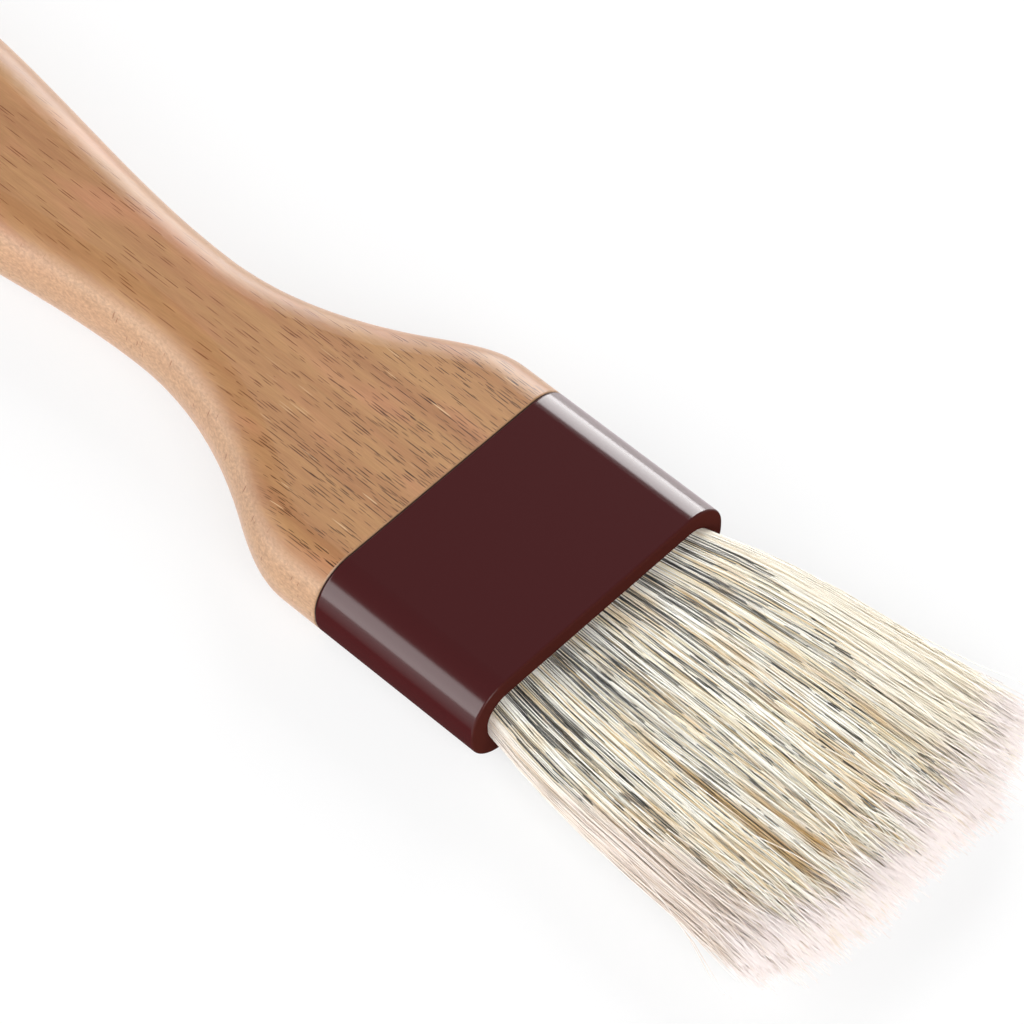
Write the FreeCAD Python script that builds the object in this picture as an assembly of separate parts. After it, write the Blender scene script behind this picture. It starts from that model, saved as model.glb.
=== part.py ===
"""Flat pastry brush: a beech handle glued into a moulded ferrule, and a natural bristle knot set in resin.

Millimetres. +Y runs along the brush towards the bristle tips, +Z is up, and the brush lies flat.
The origin is the centre of the underside of the whole brush.
Stations along the brush are counted from the seam between handle and ferrule, towards the tips.
"""

import FreeCAD, Part
import math
import os

Vector = FreeCAD.Vector

# Section of the head, shared by the ferrule and the handle's shoulder, which meet flush.
HEAD_WIDTH = 40.0
THICKNESS = 11.6
EDGE_RADIUS = 5.4
LEAST_EDGE_FLAT = 0.8

# Handle, a flat board shaped in plan: shoulder, neck, waist, belly and butt.
HANDLE_LENGTH = 140.0
SHOULDER_LENGTH = 5.6
NECK_FROM_SEAM = 16.0
NECK_HALF_WIDTH = 15.95
NECK_SLOPE = -0.61
WAIST_FROM_SEAM = 41.0
WAIST_HALF_WIDTH = 8.15
BELLY_FROM_END = 44.0
BELLY_HALF_WIDTH = 13.6
BUTT_FROM_END = 13.0
BUTT_HALF_WIDTH = 11.8
BUTT_SLOPE = -0.16
BUTT_FULLNESS = 0.62
SEAM_CHAMFER = 0.25

# Hole to hang the brush by.
HANG_HOLE_RADIUS = 3.0
HANG_HOLE_FROM_END = 11.5
HANG_HOLE_CHAMFER = 0.7

# Ferrule, a moulded sleeve with an inner step that the tenon's bore ends at.
FERRULE_LENGTH = 24.0
TENON_WALL = 1.8
MOUTH_WALL = 2.4
TENON_BORE_DEPTH = 11.0
FERRULE_LIP_RADIUS = 0.3

# Tenon and the glue round it.
GLUE_GAP = 0.2
TENON_END_GAP = 0.6
GLUE_SETBACK = 1.0

# Resin poured in behind the bristles, keyed over the ferrule's inner step.
RESIN_CAP = 1.0
RESIN_DEPTH = 5.0

# Spacer strip in the middle of the knot.
SPACER_THICKNESS = 2.0
SPACER_EDGE_RADIUS = 0.6
SPACER_SIDE_MARGIN = 4.0
SPACER_EMBED = 3.0
SPACER_CLEARANCE = 0.7

# Free bristles, in two rows of locks, which turn about an axis just outside the ferrule's mouth.
BRISTLE_LENGTH = 46.8
TIP_CROWN = 4.3
FLEX_AXIS_AHEAD = 1.5
RUNNING_GAP = 0.3
SEAT_GAP = 0.55
SIDE_GAP = 0.4
TIP_HALF_WIDTH = 22.4
TIP_HALF_THICKNESS = 5.0
KNOT_EDGE_RADIUS = 2.4
LEAST_ROOT_FLAT = 0.6
LOCKS_PER_ROW = 8
LOCK_GAP = 0.12

# Worked out from the sizes above.
HEAD_HALF = HEAD_WIDTH / 2
MID_Z = THICKNESS / 2
EDGE = min(EDGE_RADIUS, (THICKNESS - LEAST_EDGE_FLAT) / 2)
SEAM_Y = (HANDLE_LENGTH - FERRULE_LENGTH - BRISTLE_LENGTH) / 2
HANG_HOLE_Y = SEAM_Y - HANDLE_LENGTH + HANG_HOLE_FROM_END
MOUTH_HALF_WIDTH = HEAD_HALF - MOUTH_WALL
MOUTH_HALF_THICKNESS = MID_Z - MOUTH_WALL
TENON_LENGTH = TENON_BORE_DEPTH - RESIN_CAP - TENON_END_GAP
BUTTS_START = TENON_BORE_DEPTH + RESIN_DEPTH
FLEX_STATION = FERRULE_LENGTH + FLEX_AXIS_AHEAD
ROOT_RADIUS = MOUTH_HALF_THICKNESS - RUNNING_GAP
ROOT_START = FLEX_STATION - ROOT_RADIUS
ROOT_HALF_WIDTH = MOUTH_HALF_WIDTH - SIDE_GAP
SPACER_END = ROOT_START - SPACER_CLEARANCE
TIP_STATION = FERRULE_LENGTH + BRISTLE_LENGTH
TIP_CORNER_STATION = TIP_STATION - TIP_CROWN
KNOT_EDGE = min(KNOT_EDGE_RADIUS, ROOT_RADIUS - LEAST_ROOT_FLAT)

# Overshoot of cutting shapes, and the smallest difference between two places.
OVERSHOOT = 10.0
SAME = 1e-4


def at(station, x=0.0, z=0.0):
    """Point at a station along the brush, with z counted from the middle of the thickness."""
    return Vector(x, SEAM_Y + station, MID_Z + z)


def closed_face(edges):
    """Flat face inside a loop of edges given in any order."""
    return Part.Face(Part.Wire(Part.__sortEdges__(edges)))


def rounded_bar(half_width, half_thickness, radius, start, end):
    """Bar along the brush with a rounded rectangular section, from one station to another."""
    cx = half_width - radius
    cz = half_thickness - radius
    diagonal = radius * math.sqrt(0.5)
    arcs = []
    for sx, sz in ((1, 1), (-1, 1), (-1, -1), (1, -1)):
        side = at(start, sx * half_width, sz * cz)
        middle = at(start, sx * (cx + diagonal), sz * (cz + diagonal))
        face = at(start, sx * cx, sz * half_thickness)
        ends = (side, face) if sx == sz else (face, side)
        arcs.append(Part.Arc(ends[0], middle, ends[1]).toShape())
    flats = []
    for here, after in zip(arcs, arcs[1:] + arcs[:1]):
        flats.append(Part.makeLine(here.lastVertex().Point, after.firstVertex().Point))
    return closed_face(arcs + flats).extrude(Vector(0, end - start, 0))


def bore_section(wall):
    """Half width, half thickness and corner radius inside the ferrule for a wall."""
    return HEAD_HALF - wall, MID_Z - wall, EDGE - wall


def slab(points, low, high):
    """Prism over a closed outline of (x, station) points, between two heights from the middle."""
    corners = [at(station, x, low) for x, station in points]
    face = Part.Face(Part.makePolygon(corners + corners[:1]))
    return face.extrude(Vector(0, 0, high - low))


def plan_curve(side, poles):
    """Cubic edge on the underside through (distance behind the seam, half width) poles."""
    curve = Part.BezierCurve()
    curve.setPoles([at(-distance, side * half, -MID_Z) for distance, half in poles])
    return curve.toShape()


def handle_side(side):
    """Edges of one side of the handle's plan, from the seam to the middle of the butt."""
    corner = at(0, side * HEAD_HALF, -MID_Z)
    edges = [Part.makeLine(corner, at(-SHOULDER_LENGTH, side * HEAD_HALF, -MID_Z))]
    butt_at = HANDLE_LENGTH - BUTT_FROM_END
    stations = (
        (SHOULDER_LENGTH, HEAD_HALF, 0.0),
        (NECK_FROM_SEAM, NECK_HALF_WIDTH, NECK_SLOPE),
        (WAIST_FROM_SEAM, WAIST_HALF_WIDTH, 0.0),
        (HANDLE_LENGTH - BELLY_FROM_END, BELLY_HALF_WIDTH, 0.0),
        (butt_at, BUTT_HALF_WIDTH, BUTT_SLOPE),
    )
    for (s0, w0, slope0), (s1, w1, slope1) in zip(stations, stations[1:]):
        third = (s1 - s0) / 3
        inner = [(s0 + third, w0 + third * slope0), (s1 - third, w1 - third * slope1)]
        edges.append(plan_curve(side, [(s0, w0)] + inner + [(s1, w1)]))
    reach = BUTT_FROM_END * BUTT_FULLNESS
    shoulder_pole = (butt_at + reach, BUTT_HALF_WIDTH + reach * BUTT_SLOPE)
    end_pole = (HANDLE_LENGTH, BUTT_HALF_WIDTH * BUTT_FULLNESS)
    edges.append(plan_curve(side, [(butt_at, BUTT_HALF_WIDTH), shoulder_pole, end_pole, (HANDLE_LENGTH, 0)]))
    return edges


def keeps_height(edge):
    """True for an edge that runs at one height."""
    return edge.BoundBox.ZLength < SAME


def at_station(edge, station):
    """True for an edge that lies across the brush at one station."""
    return all(abs(v.Point.y - SEAM_Y - station) < SAME for v in edge.Vertexes)


def make_hang_hole():
    """Cutter for the hang hole, opened out a little at both faces."""
    mouth = HANG_HOLE_RADIUS + HANG_HOLE_CHAMFER
    low = Vector(0, HANG_HOLE_Y, 0)
    high = Vector(0, HANG_HOLE_Y, THICKNESS - HANG_HOLE_CHAMFER)
    bore = Part.makeCylinder(HANG_HOLE_RADIUS, THICKNESS, low)
    lower = Part.makeCone(mouth, HANG_HOLE_RADIUS, HANG_HOLE_CHAMFER, low)
    upper = Part.makeCone(HANG_HOLE_RADIUS, mouth, HANG_HOLE_CHAMFER, high)
    return bore.fuse([lower, upper])


def make_handle():
    """Board with rounded edges, a tenon for the ferrule and a hole to hang it by."""
    seam = Part.makeLine(at(0, HEAD_HALF, -MID_Z), at(0, -HEAD_HALF, -MID_Z))
    plan = closed_face(handle_side(1) + handle_side(-1) + [seam])
    board = plan.extrude(Vector(0, 0, THICKNESS))
    board = board.makeFillet(EDGE, [e for e in board.Edges if keeps_height(e) and not at_station(e, 0)])
    board = board.makeChamfer(SEAM_CHAMFER, [e for e in board.Edges if at_station(e, 0)])
    tenon = rounded_bar(*bore_section(TENON_WALL + GLUE_GAP), -SHOULDER_LENGTH, TENON_LENGTH)
    return board.fuse(tenon).cut(make_hang_hole()).removeSplitter()


def make_ferrule():
    """Moulded sleeve, with a wide bore for the tenon and a narrower mouth for the bristles."""
    sleeve = rounded_bar(HEAD_HALF, MID_Z, EDGE, 0, FERRULE_LENGTH)
    ends = [e for e in sleeve.Edges if at_station(e, 0) or at_station(e, FERRULE_LENGTH)]
    sleeve = sleeve.makeFillet(FERRULE_LIP_RADIUS, ends)
    tenon_bore = rounded_bar(*bore_section(TENON_WALL), -OVERSHOOT, TENON_BORE_DEPTH)
    mouth_bore = rounded_bar(*bore_section(MOUTH_WALL), 0, FERRULE_LENGTH + OVERSHOOT)
    return sleeve.cut(tenon_bore).cut(mouth_bore)


def make_tenon_glue():
    """Cured glue between the tenon and its bore, short of both ends of the tenon."""
    end = TENON_LENGTH - GLUE_SETBACK
    outer = rounded_bar(*bore_section(TENON_WALL), GLUE_SETBACK, end)
    inner = rounded_bar(*bore_section(TENON_WALL + GLUE_GAP), GLUE_SETBACK, end)
    return outer.cut(inner)


def make_spacer():
    """Wooden strip that splits the knot into an upper and a lower row."""
    half_width = MOUTH_HALF_WIDTH - SPACER_SIDE_MARGIN
    start = BUTTS_START - SPACER_EMBED
    return rounded_bar(half_width, SPACER_THICKNESS / 2, SPACER_EDGE_RADIUS, start, SPACER_END)


def make_resin(spacer):
    """Set resin behind the bristles, with a cap that is wider than the mouth's bore."""
    cap = rounded_bar(*bore_section(TENON_WALL), TENON_BORE_DEPTH - RESIN_CAP, TENON_BORE_DEPTH)
    block = rounded_bar(*bore_section(MOUTH_WALL), TENON_BORE_DEPTH, BUTTS_START)
    return cap.fuse(block).removeSplitter().cut(spacer)


def half_space(side, gap):
    """Large box over the whole head, above or below the middle by half a gap."""
    start = BUTTS_START - OVERSHOOT
    end = TIP_STATION + OVERSHOOT
    points = [(-HEAD_WIDTH, start), (HEAD_WIDTH, start), (HEAD_WIDTH, end), (-HEAD_WIDTH, end)]
    low, high = (gap / 2, THICKNESS) if side > 0 else (-THICKNESS, -gap / 2)
    return slab(points, low, high)


def make_butts(spacer, side):
    """Bristle butts of one row inside the ferrule, with the round seat that the free locks turn in."""
    row = rounded_bar(*bore_section(MOUTH_WALL), BUTTS_START, FERRULE_LENGTH)
    seat_start = at(FLEX_STATION, -HEAD_WIDTH)
    seat = Part.makeCylinder(ROOT_RADIUS + SEAT_GAP, 2 * HEAD_WIDTH, seat_start, Vector(1, 0, 0))
    return row.cut(seat).cut(spacer).common(half_space(side, 0.0))


def knot_side_profile():
    """Free knot seen from the side: a round root whose tangents run to the tips."""
    reach = TIP_STATION - FLEX_STATION
    slope = math.atan2(TIP_HALF_THICKNESS, reach)
    touch = slope + math.acos(ROOT_RADIUS / math.hypot(reach, TIP_HALF_THICKNESS))
    touch_station = FLEX_STATION + ROOT_RADIUS * math.cos(touch)
    touch_z = ROOT_RADIUS * math.sin(touch)
    x = -HEAD_WIDTH
    upper = at(touch_station, x, touch_z)
    lower = at(touch_station, x, -touch_z)
    upper_tip = at(TIP_STATION, x, TIP_HALF_THICKNESS)
    lower_tip = at(TIP_STATION, x, -TIP_HALF_THICKNESS)
    root = Part.Arc(upper, at(ROOT_START, x), lower).toShape()
    sides = [Part.makeLine(lower, lower_tip), Part.makeLine(upper_tip, upper)]
    outline = closed_face([root, Part.makeLine(lower_tip, upper_tip)] + sides)
    return outline.extrude(Vector(2 * HEAD_WIDTH, 0, 0))


def lane_edge(lane, station):
    """Side of a lane at a station: 0 is the knot's left side and LOCKS_PER_ROW its right side."""
    share = (station - FERRULE_LENGTH) / (TIP_CORNER_STATION - FERRULE_LENGTH)
    half = ROOT_HALF_WIDTH + (TIP_HALF_WIDTH - ROOT_HALF_WIDTH) * share
    return half * (2 * lane / LOCKS_PER_ROW - 1)


def knot_plan():
    """Free knot seen from above: fanned out to a crowned line of tips."""
    low = -THICKNESS
    root_half = lane_edge(LOCKS_PER_ROW, ROOT_START)
    left_root = at(ROOT_START, -root_half, low)
    right_root = at(ROOT_START, root_half, low)
    left_tip = at(TIP_CORNER_STATION, -TIP_HALF_WIDTH, low)
    right_tip = at(TIP_CORNER_STATION, TIP_HALF_WIDTH, low)
    crown = Part.Arc(right_tip, at(TIP_STATION, 0, low), left_tip).toShape()
    sides = [Part.makeLine(right_root, right_tip), Part.makeLine(left_tip, left_root)]
    outline = closed_face([crown, Part.makeLine(left_root, right_root)] + sides)
    return outline.extrude(Vector(0, 0, 2 * THICKNESS))


def runs_along_side(edge):
    """True for an edge along a side or round the root of the knot, not across it or at its tip."""
    box = edge.BoundBox
    return box.XLength < HEAD_HALF and box.YMax < SEAM_Y + TIP_STATION and not is_tip_corner(edge)


def is_tip_corner(edge):
    """True for the short upright edge where a side of the knot meets its tip."""
    return at_station(edge, TIP_CORNER_STATION)


def make_free_knot():
    """Whole free knot, fanned in plan and in thickness, before it is split into locks."""
    knot = knot_side_profile().common(knot_plan())
    return knot.makeFillet(KNOT_EDGE, [e for e in knot.Edges if runs_along_side(e)])


def make_lock(knot, lane, side):
    """One lock of free bristles: a lane of the knot, in its upper or its lower row."""
    start = ROOT_START - OVERSHOOT
    end = TIP_STATION + OVERSHOOT
    inset = LOCK_GAP / 2
    left = -OVERSHOOT if lane == 0 else inset
    right = OVERSHOOT if lane == LOCKS_PER_ROW - 1 else -inset
    points = [
        (lane_edge(lane, start) + left, start),
        (lane_edge(lane + 1, start) + right, start),
        (lane_edge(lane + 1, end) + right, end),
        (lane_edge(lane, end) + left, end),
    ]
    return knot.common(slab(points, -THICKNESS, THICKNESS)).common(half_space(side, LOCK_GAP))


def build():
    """Every sub-part's shape by name."""
    spacer = make_spacer()
    shapes = {
        "handle": make_handle(),
        "ferrule": make_ferrule(),
        "tenon_glue": make_tenon_glue(),
        "resin_set": make_resin(spacer),
        "spacer_strip": spacer,
    }
    knot = make_free_knot()
    for row, side in (("upper", 1), ("lower", -1)):
        shapes["bristle_butts_" + row] = make_butts(spacer, side)
        for lane in range(LOCKS_PER_ROW):
            shapes["bristle_lock_%s_%d" % (row, lane + 1)] = make_lock(knot, lane, side)
    return shapes


def single_solid(shape):
    """The one solid inside a shape, without the compound that a boolean leaves round it."""
    return shape.Solids[0] if len(shape.Solids) == 1 else shape


os.makedirs("parts", exist_ok=True)
for name, shape in build().items():
    piece = single_solid(shape)
    piece.exportStep("parts/%s.step" % name)
    state = "valid" if piece.isValid() else "INVALID"
    print("%-24s %d solid(s) %s %.1f mm3" % (name, len(shape.Solids), state, piece.Volume))
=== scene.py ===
"""Looks of a flat pastry brush: beech handle, maroon moulded ferrule and a natural bristle knot."""

import math

import bpy
import numpy as np
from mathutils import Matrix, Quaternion, Vector


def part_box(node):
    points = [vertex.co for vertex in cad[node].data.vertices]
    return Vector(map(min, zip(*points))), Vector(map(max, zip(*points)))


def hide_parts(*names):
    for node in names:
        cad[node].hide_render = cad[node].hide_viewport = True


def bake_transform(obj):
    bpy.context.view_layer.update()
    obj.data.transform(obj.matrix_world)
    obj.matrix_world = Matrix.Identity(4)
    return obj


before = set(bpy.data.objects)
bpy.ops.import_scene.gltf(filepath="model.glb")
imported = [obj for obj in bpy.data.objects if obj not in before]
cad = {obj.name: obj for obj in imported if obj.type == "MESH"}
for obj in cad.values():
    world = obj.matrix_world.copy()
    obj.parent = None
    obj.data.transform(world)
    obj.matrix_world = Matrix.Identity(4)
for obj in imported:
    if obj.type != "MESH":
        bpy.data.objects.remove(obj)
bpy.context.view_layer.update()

# Stage. A long lens looks down along the brush from beside its tips. The brush lies on white
# paper between a narrow soft box behind it, a wide one at its left and a square one in front of
# its tips.
MM = 0.001
CAMERA_AZIMUTH = math.radians(44.13)
CAMERA_ELEVATION = math.radians(53.63)
CAMERA_ROLL = math.radians(-0.59)
CAMERA_DISTANCE = 0.5563
LENS_MM = 175.8
SENSOR_MM = 36.0
AIM_FROM_SEAM = (-5.18 * MM, 5.88 * MM)
LAMP_DISTANCE = 0.9
LOW_WHITE = (0.04, "#FFFFFF")
HIGH_GREY = (0.38, "#6C6C6E")
TABLE_SIZE = 8.0
PAPER_WHITE = "#F8F8F8"
GLOW_WHITE = "#FFFFFF"
GLOW_SHARE = 0.72

ferrule_low, ferrule_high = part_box("ferrule")
seam_y = ferrule_low.y
mouth_y = ferrule_high.y
mid_z = (ferrule_low.z + ferrule_high.z) / 2
aim = Vector((AIM_FROM_SEAM[0], seam_y + AIM_FROM_SEAM[1], mid_z))


def direction_of(azimuth, elevation):
    """Unit vector at an azimuth counted from +X and an elevation, in radians."""
    level = math.cos(elevation)
    return Vector((level * math.cos(azimuth), level * math.sin(azimuth), math.sin(elevation)))


towards_camera = direction_of(CAMERA_AZIMUTH, CAMERA_ELEVATION)
camera_data = bpy.data.cameras.new("camera")
camera_data.lens = LENS_MM
camera_data.sensor_width = SENSOR_MM
camera = bpy.data.objects.new("camera", camera_data)
camera.location = aim + CAMERA_DISTANCE * towards_camera
roll = Quaternion((0, 0, 1), CAMERA_ROLL)
camera.rotation_euler = (towards_camera.to_track_quat("Z", "Y") @ roll).to_euler()
bpy.context.scene.collection.objects.link(camera)
bpy.context.scene.camera = camera
bpy.context.scene.view_settings.view_transform = "Standard"


def linear(hex_code):
    """Linear RGBA of an sRGB hex colour."""
    parts = [int(hex_code[i:i + 2], 16) / 255 for i in (1, 3, 5)]
    return [c / 12.92 if c <= 0.04045 else ((c + 0.055) / 1.055) ** 2.4 for c in parts] + [1.0]


def add_node(tree, kind, inputs=None, stops=(), **settings):
    """Adds a shader node. Inputs maps a socket to a value or an output; stops are a ramp's colours.

    Sockets 1 to 4 of a Map Range are its two limits in and its two limits out, which are 0 and 1
    unless given. Sockets 0, 6 and 7 of a colour Mix are its share and its two colours, and its
    output 2 is the mixed colour.
    """
    made = tree.nodes.new(kind)
    for name, value in settings.items():
        setattr(made, name, value)
    for key, value in (inputs or {}).items():
        if isinstance(value, bpy.types.NodeSocket):
            tree.links.new(value, made.inputs[key])
        else:
            made.inputs[key].default_value = value
    for i, (position, colour) in enumerate(stops):
        elements = made.color_ramp.elements
        element = elements[i] if i < len(elements) else elements.new(position)
        element.position = position
        element.color = linear(colour)
    return made


def new_material(name):
    """An empty node material and its tree."""
    material = bpy.data.materials.new(name)
    material.use_nodes = True
    material.node_tree.nodes.clear()
    return material, material.node_tree


def soft_box(name, azimuth, elevation, width, height, radiance):
    """A rectangular soft box of a given brightness, turned to the brush. Angles are in degrees."""
    data = bpy.data.lights.new(name, "AREA")
    data.shape = "RECTANGLE"
    data.size = width
    data.size_y = height
    data.energy = radiance * math.pi * width * height
    lamp = bpy.data.objects.new(name, data)
    way = direction_of(math.radians(azimuth), math.radians(elevation))
    lamp.location = aim + LAMP_DISTANCE * way
    lamp.rotation_euler = way.to_track_quat("Z", "Y").to_euler()
    bpy.context.scene.collection.objects.link(lamp)


soft_box("back_box", azimuth=-153, elevation=21, width=0.34, height=0.74, radiance=10.5)
soft_box("left_box", azimuth=-38, elevation=21, width=0.84, height=0.60, radiance=4.2)
soft_box("front_box", azimuth=66, elevation=34, width=0.60, height=0.60, radiance=6.1)

world = bpy.data.worlds.new("studio")
bpy.context.scene.world = world
world.use_nodes = True
tree = world.node_tree
tree.nodes.clear()
sight = add_node(tree, "ShaderNodeTexCoord")
height = add_node(tree, "ShaderNodeSeparateXYZ", {0: sight.outputs["Generated"]})
horizon = add_node(
    tree, "ShaderNodeValToRGB", {0: height.outputs["Z"]}, stops=[LOW_WHITE, HIGH_GREY]
)
sky = add_node(tree, "ShaderNodeBackground", {"Color": horizon.outputs["Color"], "Strength": 1.0})
add_node(tree, "ShaderNodeOutputWorld", {"Surface": sky.outputs[0]})

bpy.ops.object.select_all(action="DESELECT")
bpy.ops.mesh.primitive_plane_add(size=TABLE_SIZE, location=(0, 0, 0))
table = bpy.context.object
table.name = "table"
paper, tree = new_material("white_paper")
shade = add_node(tree, "ShaderNodeBsdfDiffuse", {"Color": linear(PAPER_WHITE)})
white = add_node(tree, "ShaderNodeEmission", {"Color": linear(GLOW_WHITE), "Strength": 1.0})
path = add_node(tree, "ShaderNodeLightPath")
seen = path.outputs["Is Camera Ray"]
for ray_kind in ("Is Glossy Ray", "Is Transmission Ray"):
    seen = add_node(
        tree, "ShaderNodeMath", {0: seen, 1: path.outputs[ray_kind]}, operation="MAXIMUM"
    ).outputs[0]
share = add_node(tree, "ShaderNodeMath", {0: seen, 1: GLOW_SHARE}, operation="MULTIPLY")
mixed = add_node(
    tree, "ShaderNodeMixShader", {0: share.outputs[0], 1: shade.outputs[0], 2: white.outputs[0]}
)
add_node(tree, "ShaderNodeOutputMaterial", {"Surface": mixed.outputs[0]})
table.data.materials.append(paper)

# Handle. One board of European beech, shaped on a spindle moulder, sanded fine and oiled to a
# satin. Beech rays are thin upright sheets: they show as short dark flecks along the grain on
# the flat faces and as marks across the band on the rounded sides, which carry a painted sheen.
BEECH_TAN = "#AF8357"
BEECH_BROWN = "#A0704A"
BEECH_PINK = "#B67E5C"
# The side colour is a painted sheen on the rounded sides.
BEECH_SHEEN_SIDE = "#B99475"
SIDE_SHEEN_SHARE = 0.75
PINK_BLOTCH_MM = (5.0, 17.0, 6.0)
PINK_RANGE = (0.50, 0.74)
PINK_MOST = 0.8
GROWTH_RING_MM = (2.2, 60.0, 3.0)
BROWN_RANGE = (0.36, 0.66)

# Pores and the lines of the grain are too fine to show, so both are drawn several times as coarse.
GRAIN_MM = (0.16, 3.0, 0.5)
GRAIN_RANGE = (0.25, 0.75)
GRAIN_LIGHT = (0.88, 1.10)
SPECKLE_MM = (0.30, 0.55, 0.30)
SPECKLE_RANGE = (0.3, 0.7)
SPECKLE_LIGHT = (0.72, 1.22)

# A cell holds at most one fleck, and a kept share of the cells holds one. Half sizes are a fleck's.
DENSE_FROM_SEAM_MM = (-30.0, -6.0)
RAY_BROWN = "#300A00"
RAY_PALER_BROWN = "#6E3512"
RAY_CELL_MM = (0.34, 3.0, 7.0)
RAY_HALF_MM = (0.060, 1.65, 2.4)
RAY_KEPT = (0.42, 0.90)
SHORT_CELL_MM = (0.31, 1.9, 7.0)
SHORT_HALF_MM = (0.054, 0.85, 2.4)
SHORT_KEPT = 0.60
SIDE_RAY_BROWN = "#8A5A3C"
SIDE_RAY_CELL_MM = (2.4, 0.9, 1.6)
SIDE_RAY_HALF_MM = (0.70, 0.085, 0.50)
SIDE_RAY_KEPT = 0.32
PALE_RAY = "#D9BC93"
PALE_RAY_KEPT = 0.06
PALE_RAY_SHIFT_MM = (0.19, 1.3, 0.0)
CELL_JITTER = 0.85
FLECK_SHRINK = (1.7, 0.9)
FLECK_EDGE = (1.1, 0.85)
FLECK_STRENGTH = (0.75, 1.0)
FLECK_RELIEF = -0.1
FLAT_NORMAL_Z = (0.62, 0.82)
FLECKED_NORMAL_Z = (0.80, 0.94)
# A painted shade darkens the chamfer at the seam with the ferrule.
SEAM_SHADE = "#2A160E"
SEAM_SHADE_MM = (-0.16, -0.07)
OILED_RANGE = (0.2, 0.8)
OILED_ROUGHNESS = (0.36, 0.46)
OIL_IOR = 1.47
SANDING_DUST = "#FFE6DC"


def finish_cad(name, material):
    """Gives a CAD node its material."""
    cad[name].data.materials.clear()
    cad[name].data.materials.append(material)


def scattered(tree, place, cell_mm, half_mm, kept):
    """Mask of small ellipsoids, at most one to a cell, each with its own size and strength."""
    spread = add_node(
        tree, "ShaderNodeVectorMath", {0: place, 1: cell_mm}, operation="DIVIDE"
    ).outputs[0]
    cells = add_node(
        tree, "ShaderNodeTexVoronoi", {"Vector": spread, "Scale": 1.0, "Randomness": CELL_JITTER}
    )
    away = add_node(
        tree, "ShaderNodeVectorMath", {0: spread, 1: cells.outputs["Position"]}, operation="SUBTRACT"
    )
    halves = [c / h for c, h in zip(cell_mm, half_mm)]
    away = add_node(
        tree, "ShaderNodeVectorMath", {0: away.outputs[0], 1: halves}, operation="MULTIPLY"
    )
    away = add_node(tree, "ShaderNodeVectorMath", {0: away.outputs[0]}, operation="LENGTH")
    dice = add_node(tree, "ShaderNodeSeparateColor", {0: cells.outputs["Color"]})
    small = add_node(
        tree, "ShaderNodeMapRange", {0: dice.outputs[1], 3: FLECK_SHRINK[0], 4: FLECK_SHRINK[1]}
    )
    away = add_node(
        tree, "ShaderNodeMath", {0: away.outputs["Value"], 1: small.outputs[0]}, operation="MULTIPLY"
    )
    fleck = add_node(
        tree, "ShaderNodeMapRange", {0: away.outputs[0], 1: FLECK_EDGE[0], 2: FLECK_EDGE[1]}
    )
    drawn = add_node(tree, "ShaderNodeMath", {0: dice.outputs[0], 1: kept}, operation="LESS_THAN")
    strong = add_node(
        tree, "ShaderNodeMapRange", {0: dice.outputs[2], 3: FLECK_STRENGTH[0], 4: FLECK_STRENGTH[1]}
    )
    for factor in (drawn, strong):
        fleck = add_node(
            tree, "ShaderNodeMath", {0: fleck.outputs[0], 1: factor.outputs[0]}, operation="MULTIPLY"
        )
    return fleck.outputs[0]


beech, tree = new_material("oiled_beech")
spot = add_node(tree, "ShaderNodeTexCoord")
place = add_node(
    tree, "ShaderNodeVectorMath", {0: spot.outputs["Object"], 1: (1 / MM, 1 / MM, 1 / MM)},
    operation="MULTIPLY",
).outputs[0]
station = add_node(tree, "ShaderNodeSeparateXYZ", {0: place}).outputs["Y"]
seam_mm = seam_y / MM
near = add_node(
    tree, "ShaderNodeMapRange",
    {0: station, 1: seam_mm + DENSE_FROM_SEAM_MM[0], 2: seam_mm + DENSE_FROM_SEAM_MM[1]},
).outputs[0]

noises = []
for size_mm, detail, roughness in (
    (PINK_BLOTCH_MM, 2.0, 0.5),
    (GROWTH_RING_MM, 3.0, 0.6),
    (GRAIN_MM, 2.0, 0.6),
    (SPECKLE_MM, 2.0, 0.6),
):
    scaled = add_node(tree, "ShaderNodeVectorMath", {0: place, 1: size_mm}, operation="DIVIDE")
    noise = add_node(
        tree, "ShaderNodeTexNoise",
        {"Vector": scaled.outputs[0], "Scale": 1.0, "Detail": detail, "Roughness": roughness},
    )
    noises.append(noise.outputs["Fac"])
blotch, rings, grain, speck = noises
pink = add_node(
    tree, "ShaderNodeMapRange", {0: blotch, 1: PINK_RANGE[0], 2: PINK_RANGE[1], 4: PINK_MOST}
)
brown = add_node(tree, "ShaderNodeMapRange", {0: rings, 1: BROWN_RANGE[0], 2: BROWN_RANGE[1]})
fine = add_node(
    tree, "ShaderNodeMapRange",
    {0: grain, 1: GRAIN_RANGE[0], 2: GRAIN_RANGE[1], 3: GRAIN_LIGHT[0], 4: GRAIN_LIGHT[1]},
)
speckled = add_node(
    tree, "ShaderNodeMapRange",
    {0: speck, 1: SPECKLE_RANGE[0], 2: SPECKLE_RANGE[1], 3: SPECKLE_LIGHT[0], 4: SPECKLE_LIGHT[1]},
)
body = add_node(
    tree, "ShaderNodeMix",
    {0: brown.outputs[0], 6: linear(BEECH_TAN), 7: linear(BEECH_BROWN)}, data_type="RGBA",
)
body = add_node(
    tree, "ShaderNodeMix",
    {0: pink.outputs[0], 6: body.outputs[2], 7: linear(BEECH_PINK)}, data_type="RGBA",
)
body = add_node(
    tree, "ShaderNodeVectorMath", {0: body.outputs[2], "Scale": fine.outputs[0]}, operation="SCALE"
).outputs[0]
side = add_node(
    tree, "ShaderNodeVectorMath", {0: linear(BEECH_SHEEN_SIDE)[:3], "Scale": speckled.outputs[0]},
    operation="SCALE",
).outputs[0]

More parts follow.
